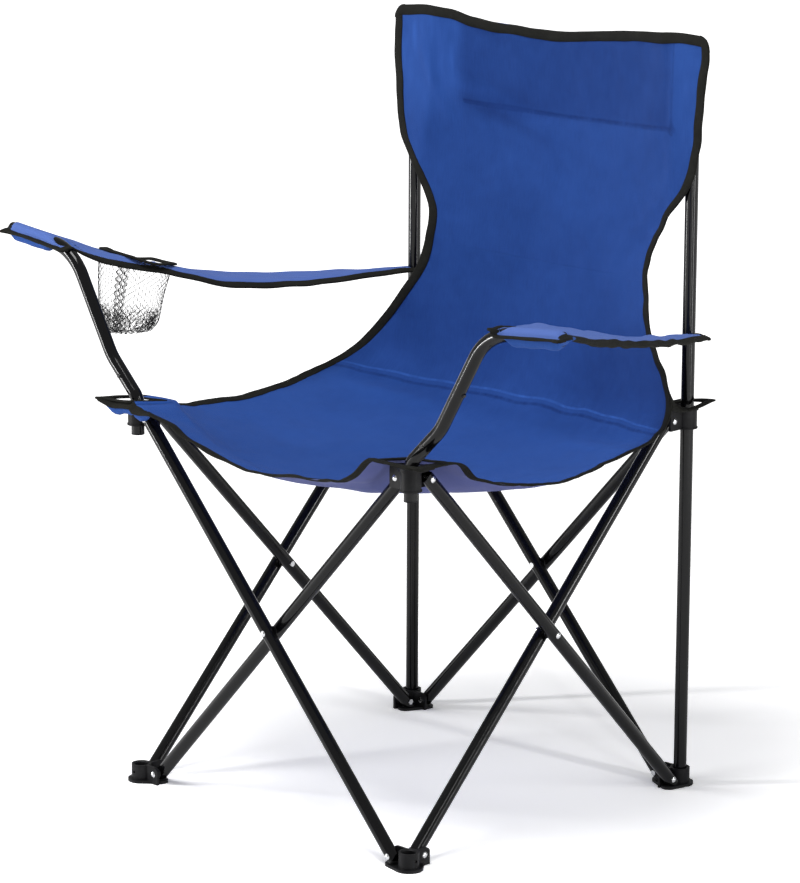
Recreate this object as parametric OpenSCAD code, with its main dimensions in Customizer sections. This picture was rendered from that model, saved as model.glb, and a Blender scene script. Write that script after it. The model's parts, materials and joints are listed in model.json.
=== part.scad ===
// Folding camp chair with a four-sided scissor frame and a sling seat.
// +Z is up, the sitter faces -Y and the sitter's left is +X.
// The origin is on the floor, midway between the four feet. All sizes are in millimetres.
// Each foot and hub takes one tube outside the line between corners and one inside it,
// so the four sides are the same side turned by 90 degrees.

/* [Frame] */
// Distance between neighbouring corners, axis to axis
corner_pitch = 410; // [390:1:430]
// Height from a foot's pivot to a hub's pivot in the open chair
leg_rise = 392; // [370:1:410]
// Outside diameter of every tube
tube_d = 14; // [13:0.5:15]
// Wall of every tube
tube_wall = 1; // [0.8:0.1:1.5]
// Top of the two rear posts
post_top = 792; // [775:1:796]
// Clear width between the two tubes that cross on one side
cross_gap = 1.2; // [1:0.1:2]

/* [Feet] */
// Height of the leg pivot above the floor
foot_pivot_z = 11; // [11:0.5:14]
// Distance from a corner's axis to the leg pivots
pivot_inset = 21; // [20:0.5:24]
// Height of the foot's socket and walls
foot_h = 19; // [18.5:0.5:24]
// Thickness of the foot's base plate
base_t = 3; // [2:0.1:3]
// Radius of the base plate round the socket
base_r = 14.5; // [13:0.5:16]
// Wall of the socket and of the hub's sleeve
socket_wall = 3.3; // [3:0.1:4]
// Thickness of the walls that the legs are riveted to
ear_t = 3; // [2.5:0.1:3]
// Diameter of the pin holes across the foot's socket
pin_hole_d = 3; // [2:0.1:4]

/* [Hubs] */
// Height of the hub below its pivots
hub_below = 10; // [9:0.5:12]
// Height of the hub's sleeve above its pivots
hub_above = 10; // [9.5:0.5:11]
// Thickness of the plate on top of the hub
hub_plate_t = 2; // [1.5:0.1:2.2]
// Outside radius of the collar at the foot of each arm tube
collar_r = 12.5; // [12:0.5:14]
// Height of that collar
collar_h = 2; // [1.5:0.1:3]

/* [Rivets] */
// Diameter of the rivet shanks
rivet_d = 4; // [3:0.1:5]
// Diameter of the rivet heads
rivet_head_d = 6.6; // [6:0.1:8]
// Height of the rivet heads
rivet_head_h = 1.5; // [1:0.1:2]

/* [Arm tubes] */
// Lean of the arm tube just above the hub, from upright
lean_low = 46; // [40:1:50]
// Lean of the long middle stretch
lean_mid = 30.5; // [28:0.5:34]
// Lean of the top stretch inside the armrest
lean_top = 84.5; // [80:0.5:88]
// Length of the low stretch between its bends
arm_low_run = 42; // [38:1:46]
// Length of the middle stretch between its bends
arm_mid_run = 84; // [78:1:90]
// Length of the top stretch
arm_top_run = 68; // [60:1:74]
// How far the arm tube stands out below the hub
arm_tail = 9; // [6:1:14]

/* [Sling] */
// Thickness of the cloth solids
cloth_t = 1.6; // [1.2:0.1:2]
// How far the seat's middle hangs below the corner tabs
seat_drop = 67; // [64:1:78]
// How far the sling's top corners stand above the posts
sling_over_post = 11; // [6:1:14]
// Length of the pockets that hold the post tops
pocket_len = 106; // [80:1:130]
// Width of those pockets
pocket_w = 42; // [36:1:50]
// How far a front corner tab reaches outside its corner's axis
front_tab_out = 36; // [30:1:40]
// How far a front corner tab reaches inside its corner's axis
front_tab_in = 28; // [28:1:30]
// How far a rear corner tab reaches each way from its corner's axis
rear_tab_r = 22; // [20:0.5:25]
// Thickness of the corner tabs
tab_t = 2; // [1.5:0.1:2.2]
// Width of the webbing round the front tabs' openings
front_tab_band = 11; // [9:0.5:12]
// Width of the webbing round the rear tabs' openings
rear_tab_band = 9; // [7:0.5:11]

/* [Armrests] */
// Width of the armrest at its front
rest_front_w = 112; // [95:1:115]
// Width of the armrest at its rear end
rest_rear_w = 38; // [32:1:46]
// How far the armrest runs past the rear post's axis
rest_tail = 14; // [12:1:20]
// Height of the left armrest's rear end on its post
rest_rear_left = 489; // [480:1:520]
// Height of the right armrest's rear end on its post
rest_rear_right = 506; // [480:1:520]
// Sag of the left armrest at mid-length
rest_sag_left = 8; // [4:1:20]
// Sag of the right armrest, which carries the cup net
rest_sag_right = 27; // [10:1:30]
// Radius of the cup hole in the right armrest
cup_hole_r = 36; // [32:1:37]
// Depth of the cup net below the armrest
net_depth = 76; // [60:1:84]
// Radius of the net's floor
net_floor_r = 27; // [22:1:30]
// Thickness of the net's wall
net_t = 1.2; // [1:0.1:1.6]

/* [Hidden] */
$fn = 48;

fit = 0.3;      // clearance between pieces that may move on each other
seat = 0.05;    // clearance between pieces that are fixed together
rivet_play = 0.08;
far = 400;      // longer than any cut needs

half = corner_pitch / 2;
tube_r = tube_d / 2;
bore_r = tube_r + fit;
sleeve_r = tube_r + fit + socket_wall;
// Tube axes, measured inward from the line that joins two corners' axes
outer_axis = -3.5;
inner_axis = outer_axis + tube_d + cross_gap;
ear_end = pivot_inset + 7;
tube_end_r = tube_r + 0.4;
// Faces of the wall inside the outer tube and of the wall outside the inner tube
outer_ear = [outer_axis + tube_r + fit, outer_axis + tube_r + fit + ear_t];
inner_ear = [-2.1, -2.1 + ear_t];
inner_boss = inner_axis - tube_r - fit;
span = corner_pitch - 2 * pivot_inset;
leg_len = sqrt(span * span + leg_rise * leg_rise);
leg_angle = atan2(leg_rise, span);
hub_z = foot_pivot_z + leg_rise;
hub_top = hub_above + hub_plate_t;
tab_z = hub_z + hub_top + fit;
tail_r = rivet_head_d / 2 - 0.3;

black = "#1b1c1e";
steel = "#c9ccd0";
blue = "#2a509b";
tape = "#26261f";
net_grey = "#3a3b3d";

// ---- places ----

// Turns of the four corners, counted from the front right corner
function turn_of(corner) =
    corner == "front_right" ? 0 : corner == "front_left" ? 90 : corner == "rear_left" ? 180 : 270;

module at_corner(corner, z = 0) {
    rotate([0, 0, turn_of(corner)]) translate([-half, -half, z]) children();
}

// Puts a side's parts, drawn on the front side, on one of the four sides
module at_side(turn) {
    rotate([0, 0, turn]) children();
}

// ---- rivets and tubes ----

// A rivet along +Y from its domed head at y0 to its flat tail at y1
module rivet(y0, y1) {
    translate([0, y0, 0]) rotate([-90, 0, 0]) {
        cylinder(h = y1 - y0, d = rivet_d);
        rotate_extrude() difference() {
            intersection() {
                translate([0, dome_r - rivet_head_h]) circle(r = dome_r, $fn = 64);
                translate([0, -rivet_head_h]) square([rivet_head_d, rivet_head_h]);
            }
            translate([-far, -far]) square([far, 2 * far]);
        }
        translate([0, 0, y1 - y0]) cylinder(h = rivet_head_h * 0.8, r = tail_r);
    }
}
// Radius of the dome whose cap has the head's width and height
dome_r = (rivet_head_d * rivet_head_d / 4 + rivet_head_h * rivet_head_h) / (2 * rivet_head_h);

module hole_y(d) {
    rotate([90, 0, 0]) cylinder(h = far, d = d, center = true);
}

// A straight leg along +X from its lower pivot at the origin, with rounded ends
module leg_tube() {
    color(black) difference() {
        intersection() {
            translate([-tube_end_r, 0, 0]) rotate([0, 90, 0])
                cylinder(h = leg_len + 2 * tube_end_r, r = tube_r);
            union() {
                for (x = [0, leg_len])
                    translate([x, 0, 0]) rotate([90, 0, 0])
                        cylinder(h = 2 * tube_d, r = tube_end_r, center = true);
                translate([0, -tube_d, -tube_d]) cube([leg_len, 2 * tube_d, 2 * tube_d]);
            }
        }
        translate([-tube_d, 0, 0]) rotate([0, 90, 0])
            cylinder(h = leg_len + 2 * tube_d, r = tube_r - tube_wall);
        for (x = [0, leg_len / 2, leg_len])
            translate([x, 0, 0]) hole_y(rivet_d + 2 * rivet_play);
    }
}

// The outer leg of the front side rises from the left foot towards the right hub
module outer_leg() {
    translate([half - pivot_inset, -half + outer_axis, foot_pivot_z])
        rotate([0, leg_angle - 180, 0]) leg_tube();
}

// The inner leg of the front side rises from the right foot towards the left hub
module inner_leg() {
    translate([pivot_inset - half, -half + inner_axis, foot_pivot_z])
        rotate([0, -leg_angle, 0]) leg_tube();
}

module cross_rivet() {
    color(steel) translate([0, -half, foot_pivot_z + leg_rise / 2])
        rivet(outer_axis - tube_r - seat, inner_axis + tube_r + seat);
}

module cross_washer() {
    washer_t = cross_gap - 0.3;
    color(black) translate([0, -half + (outer_axis + inner_axis) / 2, foot_pivot_z + leg_rise / 2])
        rotate([90, 0, 0]) difference() {
            cylinder(h = washer_t, r = tube_r - 1.5, center = true);
            cylinder(h = tube_d, d = rivet_d + 2 * rivet_play, center = true);
        }
}

// ---- feet and hubs ----

// Outline of the riveted walls in plan. The inner tube runs along +X and the outer one along +Y.
module ears_plan() {
    translate([0, inner_ear[0]]) square([ear_end, ear_t]);
    translate([outer_ear[0], 0]) square([ear_t, ear_end]);
}

// Plan of a plate that reaches under or over both tubes' ends
module plate_plan(r) {
    lobe = tube_r + 1;
    hull() {
        circle(r = r);
        translate([pivot_inset - 0.5, inner_axis - 2]) circle(r = lobe);
        translate([outer_axis + 1, pivot_inset - 0.5]) circle(r = lobe);
    }
}

// The boss that fills the space between the inner tube and its wall
module inner_boss_at(z) {
    translate([pivot_inset, inner_ear[1] - 0.5, z]) rotate([-90, 0, 0])
        cylinder(h = inner_boss - inner_ear[1] + 0.5, r = tube_r - 1.5);
}

module ear_holes(z) {
    translate([pivot_inset, 0, z]) hole_y(rivet_d + 2 * seat);
    translate([0, pivot_inset, z]) rotate([0, 0, 90]) hole_y(rivet_d + 2 * seat);
}

module foot() {
    color(black) difference() {
        union() {
            linear_extrude(base_t) plate_plan(base_r);
            cylinder(h = foot_h, r = sleeve_r);
            intersection() {
                linear_extrude(foot_h) ears_plan();
                union() {
                    cylinder(h = foot_h, r = pivot_inset);
                    for (p = [[pivot_inset, 0], [0, pivot_inset]])
                        translate([p[0] / 2, p[1] / 2, foot_pivot_z]) rotate([0, 0, p[0] > 0 ? 0 : 90])
                            translate([pivot_inset / 2, 0, 0]) rotate([90, 0, 0])
                                cylinder(h = 4 * tube_d, r = foot_h - foot_pivot_z, center = true);
                    translate([0, 0, base_t / 2])
                        cube([2 * ear_end, 2 * ear_end, foot_pivot_z], center = true);
                }
            }
            inner_boss_at(foot_pivot_z);
        }
        translate([0, 0, base_t]) cylinder(h = foot_h, r = bore_r);
        translate([0, 0, foot_h - 1.5]) cylinder(h = 1.6, r1 = bore_r, r2 = bore_r + 1.6);
        ear_holes(foot_pivot_z);
        for (turn = [0, 90]) rotate([0, 0, turn]) translate([0, -sleeve_r, foot_pivot_z])
            rotate([90, 0, 0]) cylinder(h = sleeve_r, d = pin_hole_d, center = true);
    }
}

// The inner leg leaves a hub along +Y and the outer one along +X: a foot's plan, mirrored
module hub(hole_r) {
    color(black) mirror([1, -1, 0]) difference() {
        union() {
            translate([0, 0, -hub_below]) cylinder(h = hub_below + hub_top, r = sleeve_r);
            translate([0, 0, -hub_below]) cylinder(h = 1.5, r = sleeve_r + 0.8);
            translate([0, 0, -hub_below]) linear_extrude(hub_below + hub_top) ears_plan();
            translate([0, 0, hub_above]) linear_extrude(hub_plate_t) plate_plan(sleeve_r + 1.5);
            inner_boss_at(0);
        }
        translate([0, 0, -far / 2]) cylinder(h = far, r = hole_r);
        ear_holes(0);
    }
}

// Both rivets of a foot: the first holds the inner leg, the second the outer one
module corner_rivets() {
    color(steel) {
        translate([pivot_inset, 0, 0]) rivet(inner_ear[0] - seat, inner_axis + tube_r + seat);
        translate([0, pivot_inset, 0]) rotate([0, 0, -90])
            rivet(outer_axis - tube_r - seat, outer_ear[1] + seat);
    }
}

// A hub's two rivets lie as a foot's do, mirrored like the hub itself
module hub_rivets() {
    mirror([1, -1, 0]) corner_rivets();
}

// ---- posts and arm tubes ----

module post() {
    color(black) translate([0, 0, base_t + seat]) difference() {
        cylinder(h = post_top - base_t - seat, r = tube_r);
        translate([0, 0, -1]) cylinder(h = post_top, r = tube_r - tube_wall);
    }
}

module post_cap() {
    color(black) translate([0, 0, post_top]) {
        translate([0, 0, seat]) cylinder(h = 2, r = tube_r);
        translate([0, 0, -8]) cylinder(h = 9, r = tube_r - tube_wall - seat);
    }
}

bend_low_r = 16;
bend_mid_r = 60;
bend_high_r = 60;
bend_swell = 0.02;
bend_lap = 0.3;
arm_base = hub_top;
arm_end = -hub_below - arm_tail;

// Stretches of the arm tube: straight length, then turn in degrees and its radius
ARM = [
    [arm_base - arm_end, lean_low, bend_low_r],
    [arm_low_run, lean_mid - lean_low, bend_mid_r],
    [arm_mid_run, lean_top - lean_mid, bend_high_r],
    [arm_top_run, 0, 0]
];

// Runs a round tube along the stretches, starting along +Z and turning towards +X.
// The bends come out a hair thicker than the straight stretches, which reach a little way into them.
module tube_along(path, outer_r, inner_r, i = 0) {
    run = path[i][0];
    turn = path[i][1];
    bend_r = path[i][2];
    side = turn < 0 ? -1 : 1;
    z0 = i > 0 ? -bend_lap : 0;
    z1 = turn != 0 ? run + bend_lap : run;
    difference() {
        translate([0, 0, z0]) cylinder(h = z1 - z0, r = outer_r);
        translate([0, 0, z0 - 1]) cylinder(h = z1 - z0 + 2, r = inner_r);
    }
    if (turn != 0) translate([0, 0, run]) {
        translate([side * bend_r, 0, 0]) rotate([90, 0, 0]) rotate([0, 0, side > 0 ? 180 - turn : 0])
            rotate_extrude(angle = side * turn) translate([bend_r, 0]) difference() {
                circle(r = outer_r + bend_swell);
                circle(r = inner_r - bend_swell);
            }
        translate([side * bend_r, 0, 0]) rotate([0, turn, 0]) translate([-side * bend_r, 0, 0])
            tube_along(path, outer_r, inner_r, i + 1);
    }
}

// Places children at the start of stretch n of the arm tube, with +Z along it
module along_arm(n, i = 0) {
    run = ARM[i][0];
    turn = ARM[i][1];
    bend_r = ARM[i][2];
    side = turn < 0 ? -1 : 1;
    if (i == n) children();
    else translate([side * bend_r, 0, run]) rotate([0, turn, 0]) translate([-side * bend_r, 0, 0])
        along_arm(n, i + 1) children();
}

// Arm pieces are drawn for the left arm, which leans towards +X, from the hub's axis
module at_arm(side) {
    mirror([side < 0 ? 1 : 0, 0, 0]) translate([half, -half, hub_z + arm_end]) children();
}

module arm_tube() {
    color(black) tube_along(ARM, tube_r, tube_r - tube_wall);
}

// The push-in plugs at both ends of the arm tube
module arm_plugs() {
    color(black) {
        along_arm(0) {
            translate([0, 0, -1.5]) cylinder(h = 1.5 - seat, r = tube_r);
            translate([0, 0, -1]) cylinder(h = 9, r = tube_r - tube_wall - seat);
        }
        along_arm(3) translate([0, 0, arm_top_run]) {
            translate([0, 0, seat]) cylinder(h = 2, r = tube_r);
            translate([0, 0, -8]) cylinder(h = 9, r = tube_r - tube_wall - seat);
        }
    }
}

// Two domed rivet heads on the arm tube: one outside on the middle stretch, one inside low down
module arm_rivets() {
    color(steel) {
        along_arm(2) translate([tube_r - 0.4, 0, arm_mid_run * 0.5]) rotate([0, 0, 90]) button();
        along_arm(1) translate([0, -tube_r + 0.4, arm_low_run * 0.55]) button();
    }
}

// A small pressed rivet head that stands out towards -Y
module button() {
    rotate([90, 0, 0]) {
        translate([0, 0, 0.4 + seat]) cylinder(h = 1.3, r1 = 2.6, r2 = 1.8);
    }
}

module arm_collar() {
    color(black) translate([0, 0, hub_top + seat]) difference() {
        cylinder(h = collar_h, r = collar_r);
        translate([0, 0, -1]) cylinder(h = collar_h + 2, r = tube_r + 1.6);
    }
}

// ---- cloth ----

// A sheet of even thickness on a grid of points, given row by row
module cloth(grid, t) {
    n = len(grid);
    m = len(grid[0]);
    function along(i, j) = grid[min(i + 1, n - 1)][j] - grid[max(i - 1, 0)][j];
    function across(i, j) = grid[i][min(j + 1, m - 1)] - grid[i][max(j - 1, 0)];
    function lift(i, j) = let (c = cross(across(i, j), along(i, j))) c / norm(c) * t / 2;
    function cell(a, b, c, d) = [[a, c, b], [a, d, c]];
    front = [for (i = [0:n - 1], j = [0:m - 1]) grid[i][j] + lift(i, j)];
    back = [for (i = [0:n - 1], j = [0:m - 1]) grid[i][j] - lift(i, j)];
    k = n * m;
    e = (n - 1) * m;
    h = m - 1;
    cells = [for (i = [0:n - 2], j = [0:m - 2]) i * m + j];
    rows = [for (i = [0:n - 2]) i * m];
    faces = concat(
        [for (a = cells, f = cell(a, a + 1, a + m + 1, a + m)) f],
        [for (a = cells, f = cell(k + a + m, k + a + m + 1, k + a + 1, k + a)) f],
        [for (j = [0:m - 2], f = cell(j + 1, j, k + j, k + j + 1)) f],
        [for (j = [0:m - 2], f = cell(e + j, e + j + 1, k + e + j + 1, k + e + j)) f],
        [for (a = rows, f = cell(a, a + m, k + a + m, k + a)) f],
        [for (a = rows, f = cell(a + m + h, a + h, k + a + h, k + a + m + h)) f]
    );
    polyhedron(points = concat(front, back), faces = faces);
}

function smooth(a, b, c, d, u) =
    0.5 * (2 * b + (c - a) * u + (2 * a - 5 * b + 4 * c - d) * u * u + (3 * b - a - 3 * c + d) * u * u * u);

pocket_room = tube_r + fit + 0.3;
post_front = half - pocket_room - cloth_t - fit;
tab_mid = tab_z + tab_t / 2;
seat_low = tab_z - seat_drop;
sling_top = post_top + sling_over_post;
front_in = half - front_tab_in - fit;
front_out = half + front_tab_out;
front_flat = front_in - 2 * fit;
// Share of the half width at which the cloth passes the front corner tabs
tab_share = front_in / front_out;

// Rows of the sling from its top edge to its front edge. Each gives the side edge's x, y and z,
// the middle line's y and z, and the share of the half width at which the cloth reaches its edge height.
SLING = [
    [half + 21, post_front, sling_top, half + 21, sling_top - 19, tab_share],
    [half + 21, post_front, sling_top - 61, half + 24, sling_top - 74, tab_share],
    [half + 17, post_front, sling_top - 111, half + 24, sling_top - 119, tab_share],
    [half + 7, post_front - 1, sling_top - 148, half + 22, sling_top - 153, 0.86],
    [half - 18, half - 14, sling_top - 183, half + 19, sling_top - 187, 1],
    [half - 37, half - 15, sling_top - 215, half + 16, sling_top - 221, 1],
    [half - 41, half - 21, sling_top - 245, half + 12, sling_top - 255, 1],
    [half - 35, half - 28, tab_mid + 106, half + 8, tab_mid + 89, 1],
    [half - 18, half - 38, tab_mid + 74, half + 3, tab_mid + 49, 1],
    [half + 6, half - 45, tab_mid + 41, half - 3, tab_mid + 9, 1],
    [half + 31, half - 62, tab_mid + 8, half - 16, seat_low + 45, 1],
    [half + 46, half - 102, tab_mid - 12, half - 55, seat_low + 20, 1],
    [half + 47, half - 155, tab_mid - 22, half - 115, seat_low + 9, 1],
    [half + 49, half - 205, tab_mid - 29, half - 185, seat_low + 2, 1],
    [half + 61, 140 - half, tab_mid - 28, 145 - half, seat_low, 1],
    [half + 50, 95 - half, tab_mid - 20, 75 - half, seat_low + 5, 0.96],
    [front_out + 1, 46 - half, tab_mid - 10, 20 - half, seat_low + 13, 0.84]
];
// The cloth lies flat beside the front corner tabs and steps in round them.
// The last value is the x at the share where it passes them.
SLING_FRONT = [
    [front_out, front_tab_in + 4 - half, tab_mid, 14 - half, seat_low + 16, tab_share, front_in],
    [front_out, front_tab_in + 3 * fit - half, tab_mid, 12 - half, seat_low + 17, tab_share, front_in],
    [front_in, front_tab_in + 2 * fit - half, tab_mid, 9 - half, seat_low + 18, tab_share, front_flat],
    [front_in, -half - front_tab_out + 2, tab_mid, -18 - half, seat_low + 29, tab_share, front_flat]
];

per_span = 2;
function sling_row(i, u) =
    let (a = SLING[max(i - 1, 0)], b = SLING[i], c = SLING[i + 1], d = SLING[min(i + 2, len(SLING) - 1)],
        row = [for (k = [0:5]) smooth(a[k], b[k], c[k], d[k], u)])
    concat(row, [row[0] * tab_share]);
function sling_rows() = concat(
    [for (i = [0:len(SLING) - 2], s = [0:per_span - 1]) sling_row(i, s / per_span)],
    [sling_row(len(SLING) - 2, 1)], SLING_FRONT);
inner_cells = 6;
outer_cells = 2;
half_cells = inner_cells + outer_cells;
// Share of the half width at column j, counted from the middle
function column(j) = abs(j) <= inner_cells ? j / inner_cells * tab_share
    : sign(j) * (tab_share + (abs(j) - inner_cells) / outer_cells * (1 - tab_share));
function sling_x(row, s) = abs(s) <= tab_share ? s / tab_share * row[6]
    : sign(s) * (row[6] + (abs(s) - tab_share) / (1 - tab_share) * (row[0] - row[6]));
function sling_point(row, s) =
    let (f = pow(min(1, abs(s) / row[5]), 2))
    [sling_x(row, s), row[3] + (row[1] - row[3]) * f, row[4] + (row[2] - row[4]) * f];

module sling() {
    color(blue) {
        cloth([for (row = sling_rows()) [for (j = [-half_cells:half_cells])
            sling_point(row, column(j))]], cloth_t);
        for (side = [-1, 1]) rear_ear(side);
    }
}

// The piece of cloth that joins the seat's side to the rear corner tab
module rear_ear(side) {
    ear_y = half - rear_tab_r - fit;
    spot = cloth_t;
    mirror([side < 0 ? 1 : 0, 0, 0]) hull() {
        for (x = [half - rear_tab_r + 1, half + rear_tab_r - 1])
            translate([x, ear_y - spot / 2, tab_mid]) sphere(d = spot, $fn = 8);
        translate([half - 4, half - 49, tab_mid + 0.2]) sphere(d = spot, $fn = 8);
        translate([half + 23, half - 59, tab_mid + 5.6]) sphere(d = spot, $fn = 8);
    }
}

// A flat frame of webbing that lies on a hub round the post or the arm tube
module tab_frame(low, high, band) {
    size = high - low;
    color(tape) difference() {
        translate([low, low, 0]) linear_extrude(tab_t) offset(r = 2) translate([2, 2]) square(size - 4);
        translate([low + band, low + band, -1]) cube([size - 2 * band, size - 2 * band, tab_t + 2]);
    }
}

// The sleeve sewn to the back of the sling's top corner, which the post stands in
module post_pocket() {
    side_x = pocket_w / 2;
    color(blue) translate([0, 0, sling_top - pocket_len]) difference() {
        linear_extrude(pocket_len - 1) hull() {
            circle(r = pocket_room + cloth_t / 2);
            for (x = [-side_x + 0.6, side_x - 0.6])
                translate([x, -pocket_room + cloth_t / 2]) circle(r = 0.6);
        }
        translate([0, 0, -1]) cylinder(h = post_top - sling_top + pocket_len + 4, r = pocket_room);
    }
}

// ---- armrests ----

rest_inner_front = half + 103;
rest_inner_rear = half - rest_rear_w / 2;
rest_cells = 14;
rest_across = 4;
sleeve_out = tube_r + fit + cloth_t;
// Height of the arm tube's axis where the top stretch begins
arm_top_z = hub_z + arm_base + bend_low_r * sin(lean_low) + arm_low_run * cos(lean_low)
    + bend_mid_r * (sin(lean_low) - sin(lean_mid)) + arm_mid_run * cos(lean_mid)
    + bend_high_r * (sin(lean_top) - sin(lean_mid));
arm_top_x = half + bend_low_r * (1 - cos(lean_low)) + arm_low_run * sin(lean_low)
    + bend_mid_r * (cos(lean_mid) - cos(lean_low)) + arm_mid_run * sin(lean_mid)
    + bend_high_r * (cos(lean_mid) - cos(lean_top));
rest_slope = cos(lean_top) / sin(lean_top);

// Places on the armrest: u runs from its front to its rear end, v from its inner to its outer edge
function rest_y(u) = -half + u * (corner_pitch + rest_tail);
function rest_x(u, v) = let (a = rest_inner_front + (rest_inner_rear - rest_inner_front) * u)
    a + v * (rest_front_w + (rest_rear_w - rest_front_w) * u);
function rest_front_z(v) =
    arm_top_z + (sleeve_out - cloth_t / 2) / sin(lean_top) + (rest_x(0, v) - arm_top_x) * rest_slope;
function rest_z(u, v, rear_z, sag) = rest_front_z(v) * (1 - u) + rear_z * u - sag * 4 * u * (1 - u);

module armrest(side, rear_z, sag, hole) {
    color(blue) mirror([side < 0 ? 1 : 0, 0, 0]) difference() {
        union() {
            cloth([for (i = [0:rest_cells]) [for (j = [0:rest_across])
                let (u = i / rest_cells, v = j / rest_across)
                [rest_x(u, v), rest_y(u), rest_z(u, v, rear_z, sag)]]], cloth_t);
            translate([half, -half, hub_z + arm_end]) along_arm(3) translate([0, 0, 4])
                cylinder(h = arm_top_run + 1, r = sleeve_out);
        }
        translate([half, -half, hub_z + arm_end]) along_arm(3) translate([0, 0, -20])
            cylinder(h = arm_top_run + 24, r = tube_r + fit);
        translate([half, half, rear_z - 60]) cylinder(h = 120, r = bore_r + 0.4);
        if (hole) translate([cup_x, cup_y, 0]) cylinder(h = 2 * far, r = cup_hole_r);
    }
}

// The cup hole's place, in the middle of the armrest's width
cup_u = 0.25;
cup_x = rest_x(cup_u, 0.5);
cup_y = rest_y(cup_u);
net_top = rest_z(cup_u, 0.5, rest_rear_right, rest_sag_right) - cloth_t / 2 - fit;

function cup_height(du, dv) = rest_z(cup_u + du, 0.5 + dv, rest_rear_right, rest_sag_right);
// Slopes of the armrest at the cup hole, across it and along it
cup_tilt = (cup_height(0, 0.1) - cup_height(0, -0.1)) / (rest_x(cup_u, 0.6) - rest_x(cup_u, 0.4));
cup_fall = (cup_height(0.05, 0.02) - cup_height(-0.05, -0.02)) / (rest_y(0.05) - rest_y(-0.05));

// A net bag hung round the cup hole, closed at its gathered floor and cut level with the armrest
module cup_net() {
    rim_r = cup_hole_r + 2;
    rise = 14;
    top_r = rim_r + rise * (rim_r - net_floor_r - 5) / (net_depth - 4);
    color(net_grey) translate([-cup_x, cup_y, net_top - net_depth]) difference() {
        rotate_extrude(convexity = 4) polygon([
            [0, 0], [net_floor_r, 0], [net_floor_r + 5, 4], [top_r, net_depth + rise],
            [top_r - net_t, net_depth + rise], [net_floor_r + 5 - net_t, 4 + net_t],
            [net_floor_r - 1, net_t], [0, net_t]
        ]);
        translate([0, 0, net_depth]) rotate([atan(cup_fall), atan(cup_tilt), 0])
            translate([-50, -50, 0]) cube([100, 100, 60]);
    }
}

// ---- the pieces ----

at_corner("front_left") foot();  // foot_front_left
at_corner("front_right") foot();  // foot_front_right
at_corner("rear_left") foot();  // foot_rear_left
at_corner("rear_right") foot();  // foot_rear_right
at_corner("front_left", hub_z) hub(tube_r + seat);  // hub_front_left
at_corner("front_right", hub_z) hub(tube_r + seat);  // hub_front_right
at_corner("rear_left", hub_z) hub(bore_r);  // hub_rear_left
at_corner("rear_right", hub_z) hub(bore_r);  // hub_rear_right
outer_leg();  // leg_front_outer
inner_leg();  // leg_front_inner
at_side(90) outer_leg();  // leg_left_outer
at_side(90) inner_leg();  // leg_left_inner
at_side(180) outer_leg();  // leg_rear_outer
at_side(180) inner_leg();  // leg_rear_inner
at_side(270) outer_leg();  // leg_right_outer
at_side(270) inner_leg();  // leg_right_inner
cross_rivet();  // cross_rivet_front
at_side(90) cross_rivet();  // cross_rivet_left
at_side(180) cross_rivet();  // cross_rivet_rear
at_side(270) cross_rivet();  // cross_rivet_right
cross_washer();  // cross_washer_front
at_side(90) cross_washer();  // cross_washer_left
at_side(180) cross_washer();  // cross_washer_rear
at_side(270) cross_washer();  // cross_washer_right
at_corner("front_left", foot_pivot_z) corner_rivets();  // foot_rivets_front_left
at_corner("front_right", foot_pivot_z) corner_rivets();  // foot_rivets_front_right
at_corner("rear_left", foot_pivot_z) corner_rivets();  // foot_rivets_rear_left
at_corner("rear_right", foot_pivot_z) corner_rivets();  // foot_rivets_rear_right
at_corner("front_left", hub_z) hub_rivets();  // hub_rivets_front_left
at_corner("front_right", hub_z) hub_rivets();  // hub_rivets_front_right
at_corner("rear_left", hub_z) hub_rivets();  // hub_rivets_rear_left
at_corner("rear_right", hub_z) hub_rivets();  // hub_rivets_rear_right
at_corner("rear_left") post();  // post_left
at_corner("rear_right") post();  // post_right
at_corner("rear_left") post_cap();  // post_cap_left
at_corner("rear_right") post_cap();  // post_cap_right
at_arm(1) arm_tube();  // arm_tube_left
at_arm(-1) arm_tube();  // arm_tube_right
at_corner("front_left", hub_z) arm_collar();  // arm_collar_left
at_corner("front_right", hub_z) arm_collar();  // arm_collar_right
at_arm(1) arm_rivets();  // arm_rivets_left
at_arm(-1) arm_rivets();  // arm_rivets_right
at_arm(1) arm_plugs();  // arm_plugs_left
at_arm(-1) arm_plugs();  // arm_plugs_right
at_corner("front_left", tab_z) tab_frame(-front_tab_out, front_tab_in, front_tab_band);  // corner_tab_front_left
at_corner("front_right", tab_z) tab_frame(-front_tab_out, front_tab_in, front_tab_band);  // corner_tab_front_right
at_corner("rear_left", tab_z) tab_frame(-rear_tab_r, rear_tab_r, rear_tab_band);  // corner_tab_rear_left
at_corner("rear_right", tab_z) tab_frame(-rear_tab_r, rear_tab_r, rear_tab_band);  // corner_tab_rear_right
translate([half, half, 0]) post_pocket();  // post_pocket_left
translate([-half, half, 0]) post_pocket();  // post_pocket_right
sling();
armrest(1, rest_rear_left, rest_sag_left, false);  // armrest_left
armrest(-1, rest_rear_right, rest_sag_right, true);  // armrest_right
cup_net();
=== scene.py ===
import bpy
import bmesh
import json
import math
import numpy as np
from mathutils import Matrix, Vector

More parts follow.
